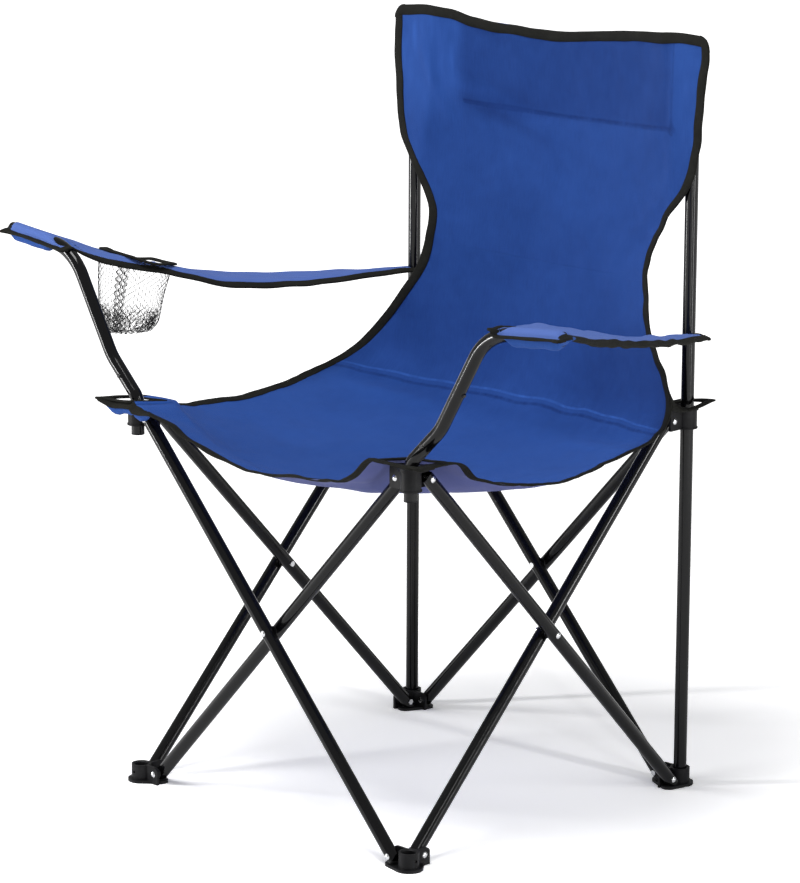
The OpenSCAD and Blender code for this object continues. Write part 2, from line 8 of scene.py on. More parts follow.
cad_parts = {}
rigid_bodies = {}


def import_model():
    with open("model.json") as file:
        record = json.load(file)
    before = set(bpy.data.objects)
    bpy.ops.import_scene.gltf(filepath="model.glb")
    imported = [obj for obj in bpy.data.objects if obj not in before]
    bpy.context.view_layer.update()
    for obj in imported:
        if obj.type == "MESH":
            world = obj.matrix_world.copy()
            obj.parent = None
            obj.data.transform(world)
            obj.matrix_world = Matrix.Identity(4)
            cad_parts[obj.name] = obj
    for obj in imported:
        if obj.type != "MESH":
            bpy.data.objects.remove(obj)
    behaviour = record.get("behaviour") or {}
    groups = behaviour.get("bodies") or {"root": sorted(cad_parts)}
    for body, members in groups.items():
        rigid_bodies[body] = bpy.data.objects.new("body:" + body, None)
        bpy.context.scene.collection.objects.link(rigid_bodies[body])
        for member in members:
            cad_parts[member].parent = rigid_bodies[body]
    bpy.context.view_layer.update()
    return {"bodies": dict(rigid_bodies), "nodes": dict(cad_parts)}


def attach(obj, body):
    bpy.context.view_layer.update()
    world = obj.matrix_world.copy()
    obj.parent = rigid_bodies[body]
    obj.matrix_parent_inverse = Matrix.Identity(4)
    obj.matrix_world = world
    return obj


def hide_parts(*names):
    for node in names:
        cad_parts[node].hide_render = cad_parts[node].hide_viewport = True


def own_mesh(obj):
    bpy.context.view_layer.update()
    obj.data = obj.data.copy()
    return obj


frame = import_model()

# ---- Camera ----
# A long lens, a little above the armrests, looks at the chair's front left corner
# from three metres away on each side.

eye = Vector((3.0024, -2.9776, 1.3574))
yaw, pitch, roll = (math.radians(angle) for angle in (45.3597, -12.9822, 0.2724))
ahead = Vector((-math.sin(yaw) * math.cos(pitch), math.cos(yaw) * math.cos(pitch), math.sin(pitch)))
level_right = ahead.cross(Vector((0, 0, 1))).normalized()
level_up = level_right.cross(ahead)
right = math.cos(roll) * level_right + math.sin(roll) * level_up
up = math.cos(roll) * level_up - math.sin(roll) * level_right
lens = bpy.data.cameras.new("camera")
camera = bpy.data.objects.new("camera", lens)
camera.matrix_world = Matrix((
    (right.x, up.x, -ahead.x, eye.x),
    (right.y, up.y, -ahead.y, eye.y),
    (right.z, up.z, -ahead.z, eye.z),
    (0, 0, 0, 1)))
view_height = 883
lens.sensor_width = 36
lens.lens = 4106.23 / view_height * 36
lens.shift_x = -3.736 / view_height
lens.shift_y = -5.984 / view_height
lens.clip_start = 0.1
lens.clip_end = 50
bpy.context.scene.collection.objects.link(camera)
bpy.context.scene.camera = camera
bpy.context.scene.view_settings.view_transform = "Standard"

# ---- Studio floor and light ----
# A pale paper sweep under a white room. Three tall strip boxes give the tubes their long streaks,
# and a broad box overhead lights the cloth.


class Flow:
    """One output of a material's node. Arithmetic on it adds Math nodes."""

    def __init__(self, tree, socket=None):
        self.tree = tree
        self.socket = socket

    def node(self, kind, settings=None, inputs=None, out=0):
        made = self.tree.nodes.new(kind)
        for name, value in (settings or {}).items():
            setattr(made, name, value)
        for name, value in (inputs or {}).items():
            if isinstance(value, Flow):
                self.tree.links.new(value.socket, made.inputs[name])
            else:
                made.inputs[name].default_value = value
        return Flow(self.tree, made.outputs[out])

    def math(self, operation, other=0.0):
        return self.node("ShaderNodeMath", {"operation": operation}, {0: self, 1: other})

    def __add__(self, other):
        return self.math("ADD", other)

    def __mul__(self, other):
        return self.math("MULTIPLY", other)

    def __sub__(self, other):
        return self.math("SUBTRACT", other)

    def __rsub__(self, other):
        return self.node("ShaderNodeMath", {"operation": "SUBTRACT"}, {0: other, 1: self})

    __radd__ = __add__
    __rmul__ = __mul__

    def clamp(self):
        return self.node("ShaderNodeClamp", None, {0: self})

    def ease(self, low, high):
        return self.node("ShaderNodeMapRange", {"interpolation_type": "SMOOTHSTEP"},
                         {"Value": self, "From Min": low, "From Max": high})

    def blend(self, a, b):
        """Colour a where this is 0 and b where it is 1."""
        return self.node("ShaderNodeMix", {"data_type": "RGBA"}, {0: self, 6: a, 7: b}, out=2)


def finish(name, **constants):
    """A material with its shader's fixed values set, a Flow to build on, and what links it up."""
    material = bpy.data.materials.new(name)
    material.use_nodes = True
    tree = material.node_tree
    shader = tree.nodes["Principled BSDF"]
    for socket, value in constants.items():
        shader.inputs[socket.replace("_", " ")].default_value = value

    def feed(**links):
        for socket, source in links.items():
            tree.links.new(source.socket, shader.inputs[socket.replace("_", " ")])

    return material, Flow(tree), feed


def grey(value):
    return (value, value, value, 1)


# The camera sees this paper brighter than the chair is lit by it, and glossy pieces see it a little
# brighter. Further out the paper also glows for both, so that it ends in plain white.
paper, flow, feed = finish("floor_paper", Roughness=0.9, Specular_IOR_Level=0.1, Emission_Strength=1.0)
direct, glossy, through = (
    flow.node("ShaderNodeLightPath", out=f"Is {kind} Ray") for kind in ("Camera", "Glossy", "Transmission"))
reflected = glossy.math("MAXIMUM", through)
spread = flow.node("ShaderNodeVectorMath", {"operation": "LENGTH"}, {
    0: flow.node("ShaderNodeTexCoord", out="Object")}, out=1)
glow = direct.math("MAXIMUM", reflected) * (spread.ease(0.9, 3.0) * 0.8)
feed(
    Base_Color=direct * 0.72 + reflected * 0.1 + 0.8,
    Emission_Color=glow.blend(grey(0), grey(1)))
sweep = bmesh.new()
bmesh.ops.create_grid(sweep, x_segments=2, y_segments=2, size=14)
floor_mesh = bpy.data.meshes.new("floor")
sweep.to_mesh(floor_mesh)
sweep.free()
floor_mesh.materials.append(paper)
floor = bpy.data.objects.new("floor", floor_mesh)
bpy.context.scene.collection.objects.link(floor)

# The camera sees the room as plain white, and the chair is lit by about a third of that
room_light = 0.36
room = bpy.data.worlds.new("room")
room.use_nodes = True
bpy.context.scene.world = room
sky = room.node_tree.nodes["Background"]
sky.inputs["Color"].default_value = grey(1)
seen = Flow(room.node_tree).node("ShaderNodeLightPath", out="Is Camera Ray")
strength = seen * (1 - room_light) + room_light
room.node_tree.links.new(strength.socket, sky.inputs["Strength"])


def soft_box(name, place, aim, width, height, watts):
    """A soft, even light, which the camera doesn't see."""
    light = bpy.data.lights.new(name, "AREA")
    light.shape = "RECTANGLE"
    light.size = width
    light.size_y = height
    light.energy = watts
    lamp = bpy.data.objects.new(name, light)
    lamp.location = place
    lamp.rotation_euler = (Vector(aim) - Vector(place)).to_track_quat("-Z", "Y").to_euler()
    lamp.visible_camera = False
    bpy.context.scene.collection.objects.link(lamp)


soft_box("strip_left", (-1.75, -2.05, 1.0), aim=(0, 0, 1.0), width=0.17, height=1.96, watts=54)
soft_box("strip_right", (2.35, 0.45, 1.0), aim=(0, 0, 1.0), width=0.15, height=1.96, watts=20)
soft_box("strip_front", (2.5, -0.95, 1.0), aim=(0, 0, 1.0), width=0.10, height=1.96, watts=11)
soft_box("box_over", (0.0, -0.9, 3.0), aim=(0, 0, 0.4), width=1.2, height=1.2, watts=52)

# ---- Steel tubes: legs, posts and arm tubes ----
# Thin-walled steel tube, 14 mm, cut and drilled, then dipped in glossy black paint, which pools
# into a faint ripple and picks up dust and rub marks. The tubes' own solids carry the finish.


def noise(coordinates, scale, detail, **others):
    """Cloudy noise between 0 and 1."""
    inputs = {"Vector": coordinates, "Scale": scale, "Detail": detail, **others}
    return coordinates.node("ShaderNodeTexNoise", None, inputs)


def bump(height, strength, distance):
    """The surface's direction where it has this height."""
    return height.node("ShaderNodeBump", None, {"Strength": strength, "Distance": distance, "Height": height})


def coat(material, *beginnings):
    """Gives a material to every solid whose name begins in one of these ways."""
    for name, solid in frame["nodes"].items():
        if name.startswith(beginnings):
            solid.material_slots[0].material = material


paint, flow, feed = finish("black_tube_paint", Specular_IOR_Level=0.3)
place = flow.node("ShaderNodeTexCoord", out="Object")
rubbed = noise(place, 420.0, 6.0, Roughness=0.7).ease(0.62, 0.74)
feed(
    Base_Color=rubbed.blend((0.0025, 0.0025, 0.003, 1), (0.008, 0.008, 0.009, 1)),
    Roughness=noise(place, 90.0, 4.0) * 0.12 + rubbed * 0.2 + 0.06,
    Normal=bump(noise(place, 160.0, 1.0), strength=0.12, distance=0.0004))
coat(paint, "leg_", "post_left", "post_right", "arm_tube", "arm_rivets")

# ---- Nylon mouldings: feet, hubs, collars, caps, plugs and washers ----
# Injection-moulded black nylon with a fine spark-eroded grain. The feet and hubs are one moulding
# each, with their sockets and the walls that the legs are riveted to.

nylon, flow, feed = finish("black_nylon", Specular_IOR_Level=0.15)
place = flow.node("ShaderNodeTexCoord", out="Object")
cloudy = noise(place, 55.0, 4.0)
feed(
    Base_Color=cloudy.ease(0.35, 0.75).blend((0.006, 0.006, 0.007, 1), (0.016, 0.016, 0.017, 1)),
    Roughness=cloudy * 0.2 + 0.33,
    Normal=bump(noise(place, 1900.0, 3.0), strength=0.35, distance=0.0002))
coat(nylon, "foot_front", "foot_rear", "hub_front", "hub_rear", "arm_collar", "post_cap", "arm_plugs",
     "cross_washer")

# ---- Rivets ----
# Zinc-plated steel rivets with domed heads, bright, with a few dull spots. They pin the legs to the
# feet and hubs, and each pair of legs where it crosses.

zinc, flow, feed = finish("zinc_rivet", Metallic=1.0, Roughness=0.2)
spots = noise(flow.node("ShaderNodeTexCoord", out="Object"), 700.0, 4.0)
feed(
    Base_Color=spots.ease(0.5, 0.8).blend((0.82, 0.83, 0.85, 1), (0.55, 0.55, 0.56, 1)),
    Roughness=spots * 0.3 + 0.08)
coat(zinc, "cross_rivet", "foot_rivets", "hub_rivets")

# ---- Sling ----
# Seat and back are one piece of coated polyester, about 0.5 mm thick, cut to a waisted outline.
# It hangs from four corners: pockets on the posts at the top and tabs on the hubs at the seat.
# A cross seam joins back and seat, and the upper back is doubled between the two pockets.


def surface(name, points, uv, material, closed=False, attributes=None, drop=None, holes=()):
    """A mesh over a grid of points, with UVs in metres. Closed joins the first and last columns.
    Faces that drop is true of are left out, and each hole is a round one: x, y and radius."""
    rows, columns = points.shape[:2]
    mesh = bmesh.new()
    bmesh.ops.create_grid(mesh, x_segments=columns - 1, y_segments=rows - 1, size=0.5)
    places = np.array([vert.co for vert in mesh.verts])
    column = np.rint((places[:, 0] + 0.5) * (columns - 1)).astype(int)
    row = np.rint((places[:, 1] + 0.5) * (rows - 1)).astype(int)
    layer = mesh.loops.layers.uv.new("cloth")
    extra = {key: (mesh.verts.layers.float.new(key), value) for key, value in (attributes or {}).items()}
    for vert, i, j in zip(mesh.verts, row, column):
        for loop in vert.link_loops:
            loop[layer].uv = uv[i, j]
        for key, value in extra.values():
            vert[key] = value[i, j]
        vert.co = points[i, j]
    if drop is not None:
        gone = [face for face in mesh.faces if drop(face.calc_center_median())]
        bmesh.ops.delete(mesh, geom=gone, context="FACES")
    for hole_x, hole_y, hole_r in holes:
        hole = Vector((hole_x, hole_y))
        gone = [face for face in mesh.faces if (face.calc_center_median().xy - hole).length < hole_r]
        rim = {vert for face in gone for vert in face.verts}
        bmesh.ops.delete(mesh, geom=gone, context="FACES")
        for vert in rim:
            if vert.is_valid:
                vert.co.xy = hole + (vert.co.xy - hole).normalized() * hole_r
    if closed:
        bmesh.ops.remove_doubles(mesh, verts=mesh.verts[:], dist=1e-7)
    made = bpy.data.meshes.new(name)
    mesh.to_mesh(made)
    mesh.free()
    made.materials.append(material)
    made.polygons.foreach_set("use_smooth", [True] * len(made.polygons))
    piece = bpy.data.objects.new(name, made)
    bpy.context.scene.collection.objects.link(piece)
    return piece


def thicken(piece, thickness):
    """Gives a sheet its thickness, half to each side."""
    wall = piece.modifiers.new("thickness", "SOLIDIFY")
    wall.thickness = thickness
    wall.offset = 0
    return wall


def lengths(points, axis):
    """Distance along a grid's lines from their start."""
    steps = np.linalg.norm(np.diff(points, axis=axis), axis=-1)
    start = np.zeros_like(np.take(steps, [0], axis=axis))
    return np.concatenate([start, np.cumsum(steps, axis=axis)], axis=axis)


def unit(vectors):
    """Directions of length 1."""
    return vectors / np.maximum(np.linalg.norm(vectors, axis=-1, keepdims=True), 1e-12)


def ease(x, low, high):
    """0 below low, 1 above high and a smooth change between them."""
    x = np.clip((np.asarray(x, float) - low) / (high - low), 0, 1)
    return x * x * (3 - 2 * x)


def curve(table, at):
    """Rows of a table at fractional places, on a smooth curve through them."""
    table = np.asarray(table, float)
    at = np.clip(np.asarray(at, float), 0, len(table) - 1)
    first = np.minimum(at.astype(int), len(table) - 2)
    u = (at - first).reshape(at.shape + (1,) * (table.ndim - 1))
    pad = np.concatenate([[2 * table[0] - table[1]], table, [2 * table[-1] - table[-2]]])
    a, b, c, d = (pad[first + k] for k in range(4))
    bend = 2 * a - 5 * b + 4 * c - d
    twist = 3 * b - a - 3 * c + d
    return 0.5 * (2 * b + (c - a) * u + bend * u ** 2 + twist * u ** 3)


def smooth_line(line):
    """Each value's mean with its two neighbours on each side."""
    return np.convolve(np.pad(line, 2, mode="edge"), np.ones(5) / 5, "valid")


def ripple(seed, x, y, scale):
    """Soft random height between about -1 and 1, for puckers and slack in cloth."""
    draw = np.random.default_rng(seed)
    total = np.zeros(np.broadcast(x, y).shape)
    for _ in range(9):
        angle, phase = draw.uniform(0, math.tau, 2)
        size = scale * draw.uniform(0.6, 1.6)
        total += np.sin((x * math.cos(angle) + y * math.sin(angle)) * math.tau / size + phase)
    return total / 4.5


# Sideways and forwards from the chair's middle, the cloth reaches a front hub here and ends here
hub_edge = 0.178
tab_edge = 0.241

# Row by row from the top to the front, in millimetres: half width, side edge's y and z and middle
# line's y and z, and then the share of the half width at which the cloth reaches its edge's height
guide = np.array([
    [226, 195.5, 803, 226, 786, 0.75], [226, 195.5, 772, 228, 757, 0.75],
    [226, 195.5, 742, 229, 729, 0.75], [224.5, 195.5, 716, 229.5, 706, 0.76],
    [222, 195.5, 692, 229, 684, 0.78], [213, 194.5, 655, 227, 650, 0.86],
    [187, 191, 620, 224, 616, 1], [168, 190, 588, 221, 582, 1], [164, 184, 558, 217, 548, 1],
    [170, 177, 522, 213, 505, 1], [187, 167, 490, 208, 465, 1], [211, 160, 457, 202, 425, 1],
    [236, 143, 424, 189, 393, 1], [251, 103, 404, 150, 368, 1], [252, 50, 394, 90, 357, 1],
    [254, 0, 387, 20, 350, 1], [264, -60, 387, -60, 348, 1], [254, -110, 392, -130, 353, 0.95],
    [243, -146, 402, -165, 359, 0.86], [241, -164, 415, -182, 363, 0.79],
    [241, -178, 418, -193, 366, 0.7386]])
guide[:, :5] /= 1000
front = np.array([0.241, -0.241, 0.427, -0.224, 0.377, 0.7386])
upper = curve(guide, np.linspace(0, len(guide) - 1, 146))
to_front = np.array([4, 8, 14, 20, 26, 32, 38, 44, 49, 53, 58, 63]) / 63
rows = np.vstack([upper, guide[-1] + to_front[:, None] * (front - guide[-1])])
on_hub = [182, 186, 192, 198, 204, 210, 216, 222, 227, 231, 236, 241]
half = np.concatenate([np.linspace(0, 178, 42), on_hub]) / 241
s = np.concatenate([-half[:0:-1], half])
middle = len(half) - 1
share = np.minimum(1, np.abs(s)[None] / rows[:, 5:]) ** 2
sling = np.stack([rows[:, :1] * s, rows[:, 3:4] + (rows[:, 1:2] - rows[:, 3:4]) * share,
                  rows[:, 4:5] + (rows[:, 2:3] - rows[:, 4:5]) * share], -1)
x = sling[..., 0].copy()
y = sling[..., 1].copy()
down = lengths(sling, 0)[:, middle:middle + 1] + 0 * x

# The top edge, x and z, dips between the posts, and its left corner stands higher
top_edge = np.array([
    (-226, 802), (-173, 805), (-141, 804), (-129, 797), (-100, 794), (-66, 792), (-52, 789), (9, 790),
    (47, 796), (89, 801), (143, 805.5), (182, 809), (206, 811), (226, 808)]) / 1000
top = np.apply_along_axis(smooth_line, 1, np.interp(x, *top_edge.T))
sling[..., 2] += (top - sling[:1, :, 2]) * (1 - ease(down, 0, 0.11))
sling[..., 0] += 0.007 * ease(x, 0.19, 0.226) * (1 - ease(down, 0, 0.09))
# The front edge, x and z, drops steeply beside its corners and hangs nearly level between them
front_edge = np.array([
    (-178, 424), (-156, 419), (-131, 413), (-103, 397), (-73, 389), (-43, 382), (-14, 378), (15, 380),
    (44, 384), (85, 388), (128, 394), (155, 407), (170, 420), (178, 427)]) / 1000
front_drop = smooth_line(np.interp(x[-1], *front_edge.T)) - sling[-1, :, 2]
front_drop[np.abs(x[-1]) > hub_edge] = 0
sling[..., 2] += front_drop * ease(-y, 0.10, 0.236)
# The corners are stretched to their tabs. The left one's outer edge rides up, the right one's
# lies lower and its front edge hangs, and the tips are drawn in
beside = np.clip((np.abs(x) - hub_edge) / 0.063, 0, 1)
to_tip = ease(-y, hub_edge, tab_edge)
ride_up = np.where(x > 0, 0.005 - 0.007 * to_tip, -0.0045 - 0.001 * to_tip)
sling[..., 2] += beside * ride_up * ease(-y, 0.145, hub_edge)
at_front = ease(-y, 0.229, tab_edge)
hanging = at_front * (x < 0) * ease(-x, 0.150, 0.175) * (1 - ease(-x, 0.205, 0.238))
sling[..., 2] -= 0.0085 * hanging
sling[..., 1] += 0.004 * hanging
tip = ease(-y, 0.226, tab_edge) * ease(np.abs(x), 0.226, tab_edge)
sling[..., 0] -= np.sign(x) * tip * np.where(x < 0, 0.005, 0.001)
sling[..., 1] += tip * np.where(x < 0, 0.005, 0) + 0.010 * at_front * ease(x, 0.180, tab_edge)
# The top corners are rounded
round_off = ease(0.010 - down, 0, 0.010) * ease(np.abs(s)[None] + 0 * x, 0.965, 1.0)
sling[..., 0] -= np.sign(x) * round_off * 0.0035
sling[..., 2] -= round_off * 0.0035

# Wrinkles: each is a ridge or furrow between two points on the cloth, given as x and the
# distance down the cloth from the top edge, with its half width and height
wrinkles = [
    (-0.135, 0.076, -0.02, 0.108, 0.010, -0.0040), (-0.135, 0.064, -0.04, 0.093, 0.012, 0.0030),
    (0.185, 0.02, 0.184, 0.12, 0.006, -0.0022), (0.17, 0.02, 0.17, 0.13, 0.010, 0.0016),
    (-0.17, 0.01, -0.16, 0.10, 0.008, 0.0022), (-0.185, 0.04, -0.15, 0.11, 0.006, -0.0020),
    (-0.10, 0.16, 0.06, 0.21, 0.030, -0.0035), (-0.05, 0.24, -0.15, 0.19, 0.014, 0.0018),
    (0.13, 0.20, 0.19, 0.13, 0.012, -0.0020), (0.10, 0.24, 0.16, 0.19, 0.012, 0.0018),
    (-0.20, 0.43, -0.08, 0.40, 0.012, 0.0030), (-0.205, 0.455, -0.10, 0.44, 0.010, -0.0034),
    (0.22, 0.44, 0.08, 0.43, 0.010, 0.0030), (0.23, 0.475, 0.12, 0.455, 0.009, -0.0030),
    (-0.22, 0.88, -0.06, 0.72, 0.012, 0.0022), (-0.19, 0.89, -0.01, 0.77, 0.010, -0.0020),
    (-0.16, 0.91, -0.05, 0.84, 0.009, 0.0016), (0.21, 0.88, 0.07, 0.73, 0.012, 0.0022),
    (0.18, 0.90, 0.02, 0.80, 0.010, -0.0020), (0.16, 0.92, 0.08, 0.86, 0.008, 0.0016),
    (-0.24, 0.62, -0.13, 0.64, 0.014, 0.0016), (0.24, 0.60, 0.12, 0.63, 0.014, 0.0016)]
lift = 0.0009 * ripple(3, x, down, 0.13) + 0.0005 * ripple(4, x, down, 0.05)
for ax, ad, bx, bd, wide, high in wrinkles:
    length_squared = (bx - ax) ** 2 + (bd - ad) ** 2
    along = np.clip(((x - ax) * (bx - ax) + (down - ad) * (bd - ad)) / length_squared, 0, 1)
    apart = np.hypot(x - ax - along * (bx - ax), down - ad - along * (bd - ad))
    lift += high * np.exp(-(apart / wide) ** 2) * np.sin(math.pi * np.clip(along * 0.9 + 0.05, 0, 1)) ** 0.5
# Puckers along the cross seam, and a slight gather along every bound edge
seam = 0.405 + 0.02 * (x / 0.2) ** 2 + 0.0013 * ripple(7, x, 0 * x, 0.06)
lift += 0.0008 * np.exp(-((down - seam) / 0.016) ** 2) * ripple(5, x, 0 * x, 0.03)
lift -= 0.0011 * np.exp(-((down - seam) / 0.007) ** 2) * (0.3 + 0.7 * ease(x, -0.02, 0.12))
from_edge = np.minimum((1 - np.abs(s))[None] * rows[:, :1], np.minimum(down, down[-1] - down))
lift += 0.0007 * np.exp(-(from_edge / 0.02) ** 2) * ripple(6, x, down, 0.03)
at_hubs = ease(-y, 0.16, 0.185) * ease(np.abs(x), 0.16, 0.182)
lift *= 1 - at_hubs
normal = unit(np.cross(np.gradient(sling, axis=1), np.gradient(sling, axis=0)))
sling += normal * lift[..., None]


def attribute(flow, name):
    """A number kept on the cloth's own points."""
    return flow.node("ShaderNodeAttribute", {"attribute_name": name}, out="Fac")


def across_and_along(uv):
    """The two coordinates of a UV map, each on its own."""
    split = uv.node("ShaderNodeSeparateXYZ", None, {"Vector": uv})
    return (Flow(uv.tree, split.socket.node.outputs[k]) for k in "XY")


weave, flow, feed = finish("blue_weave", Roughness=0.72, Specular_IOR_Level=0.12, Sheen_Weight=0.03)
cloth_uv = flow.node("ShaderNodeUVMap", {"uv_map": "cloth"})
across, along = across_and_along(cloth_uv)
threads = (across * 7000).math("SINE") * (along * 7000).math("SINE")
drawn_out = flow.node("ShaderNodeVectorMath", {"operation": "MULTIPLY"}, {0: cloth_uv, 1: (900.0, 60.0, 1.0)})
slubs = noise(drawn_out, 1.0, 3.0)
blotches = noise(cloth_uv, 9.0, 5.0, Roughness=0.6)
fine = noise(cloth_uv, 60.0, 4.0)
pucker = noise(cloth_uv, 130.0, 3.0)
# Lines of lockstitch: "stitch" is 1 plus the distance from the nearest line. The cloth is creased
# along each line, with painted shade in the crease, and a painted highlight runs where the layer under it
# ends
off_line = attribute(flow, "stitch") - 1
near_line = off_line.math("ABSOLUTE")
thread = 1 - near_line.ease(0.0003, 0.0009)
dash = thread * ((across + along) * 2300).math("SINE").ease(-0.4, 0.2)
ply = (off_line + 0.0085).math("ABSOLUTE")
crease_and_its_shade = (1 - near_line.ease(0.0006, 0.0035)) * (pucker * 1.4 - 0.1)
drawn_in = (1 - near_line.ease(0.004, 0.014)) * pucker
# The "pale" attribute holds the cloth's tone shifts together with its painted light and shade
tone_and_painted_light = attribute(flow, "pale")
tone = (blotches - 0.5) * 0.35 + (slubs - 0.5) * 0.25 + (fine - 0.5) * 0.2 + tone_and_painted_light + 0.5
# Painted shade darkens each crease, and a painted highlight lightens the line where the layer under ends
tone = tone - crease_and_its_shade * 0.4 + (1 - ply.ease(0.0006, 0.0022)) * (pucker * 0.9 - 0.1)
blue = tone.clamp().blend((0.0035, 0.027, 0.150, 1), (0.027, 0.098, 0.395, 1))
height = threads * 0.5 + slubs * 0.6 + fine * 1.5 - crease_and_its_shade * 3 + dash * 1.5 - drawn_in * 3
# Where "pale" is high, as on the armrests' tops, the colour turns a paler, greyer blue: a painted sheen, the
# white room reflected at a grazing angle
feed(
    Base_Color=tone_and_painted_light.ease(0.25, 0.9).blend(blue, (0.110, 0.165, 0.420, 1)),
    Normal=bump(height, strength=0.5, distance=0.00035))

# The doubled upper back reads darker, the pockets and the stretched corners paler
doubled = (1 - ease(down, 0.0815, 0.0935)) * ease(x, -0.145, -0.128) * (1 - ease(x, 0.174, 0.188))
pocket = (1 - ease(down, 0.085, 0.125)) * np.maximum(ease(-x, 0.13, 0.15), ease(x, 0.18, 0.19))
# Below the cross seam the seat is painted paler than the back, as painted light on its upward face
pale = -0.17 * doubled + 0.14 * pocket + 0.24 * ease(down, 0.42, 0.46) + 0.12 * at_hubs - 0.15
pale += 0.16 * pocket * ripple(31, x * 5, down, 0.06) ** 2
# A painted shade in the furrow under the doubled panel's lower edge, towards its right end
pale -= 0.25 * np.exp(-((x + 0.09) / 0.045) ** 2 - ((down - 0.092) / 0.012) ** 2)
# Above the cross seam, on the left, a painted shadow of the left armrest darkens the cloth
# Painted shadow of the left armrest
pale -= 0.16 * ease(x, 0.0, 0.12) * ease(down, 0.27, 0.36) * (1 - ease(down - seam, -0.02, 0.0))
# Stitching along the doubled panel's lower edge, down its left end and along the cross seam
panel = np.where((x > -0.135) & (x < 0.19), np.abs(down - 0.0875), 1)
upright = np.where(down < 0.0925, np.abs(x - 0.184), 1)
round_panel = np.minimum(panel, upright)
stitch = np.where(np.abs(down - seam) < round_panel, down - seam, round_panel)
from_side = lengths(sling, 1)
sling_uv = np.stack([from_side - from_side[:, middle:middle + 1], down], -1)


def in_opening(place):
    """Whether this is in a front corner's opening."""
    return 0.186 < abs(place.x) < 0.231 and -0.231 < place.y < -0.186


seat = surface("sling_cloth", sling, sling_uv, weave, attributes={"pale": pale, "stitch": 1 + stitch},
               drop=in_opening)
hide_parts("sling")
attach(seat, "rear_left_stand")
thicken(seat, 0.0007).material_offset = 1
# The cloth's other side has a paler waterproof coating, and its pale colour is also painted bounce light from
# the floor
coating, flow, feed = finish("blue_coating", Roughness=0.62, Specular_IOR_Level=0.2)
cloth_uv = flow.node("ShaderNodeUVMap", {"uv_map": "cloth"})
cloudy = noise(cloth_uv, 14.0, 5.0)
feed(
    Base_Color=cloudy.ease(0.3, 0.7).blend((0.085, 0.105, 0.300, 1), (0.120, 0.140, 0.360, 1)),
    Roughness=cloudy * 0.2 + 0.52,
    Normal=bump(noise(cloth_uv, 260.0, 3.0), strength=0.3, distance=0.0003))
seat.data.materials.clear()
seat.data.materials.append(coating)
seat.data.materials.append(weave)

# ---- Binding tape ----
# Black grosgrain tape, 18 mm wide, is folded over every raw edge of the sling and lockstitched
# 1.5 mm from its own inner edge, so each side of the cloth shows a band about 9 mm wide.

tape, flow, feed = finish("black_tape", Roughness=0.78, Specular_IOR_Level=0.12)
cloth_uv = flow.node("ShaderNodeUVMap", {"uv_map": "cloth"})
across, along = across_and_along(cloth_uv)
ribs = (along * 5200).math("SINE")
worn = noise(cloth_uv, 150.0, 5.0)
broad = noise(cloth_uv, 22.0, 3.0)
on_line = 1 - (across.math("ABSOLUTE") - 0.0075).math("ABSOLUTE").ease(0.0002, 0.0005)
lockstitch = on_line * (along * 2100).math("SINE").ease(-0.5, 0.1)
faded = (worn * 0.5 + broad * 0.7 - 0.15 + lockstitch * 0.25).clamp()
feed(
    Base_Color=faded.blend((0.003, 0.003, 0.0027, 1), (0.019, 0.019, 0.0155, 1)),
    Normal=bump(ribs * 0.25 + worn * 0.8 + lockstitch * 0.9, strength=0.6, distance=0.0006))

# Section of the folded tape: distance in from the cloth's edge, height above the cloth
fold = np.array([[9.0, 0.5], [8.6, 1.0], [4.5, 1.15], [0.8, 1.3], [-0.4, 1.0], [-0.9, 0.0],
                 [-0.4, -1.0], [0.8, -1.3], [4.5, -1.15], [8.6, -1.0], [9.0, -0.5], [9.0, 0.5]]) / 1000


def laid_flat(points):
    """UVs for a grid: how far each point is along its row and down its column."""
    return np.stack([lengths(points, 1), lengths(points, 0)], -1)


def at_depth(cloth, reach, depths):
    """Points these distances in from the cloth's edge, at each place along it."""
    return np.array([[np.interp(deep, far, line[:, k]) for k in range(3)]
                     for deep, far, line in zip(depths, reach, cloth)])


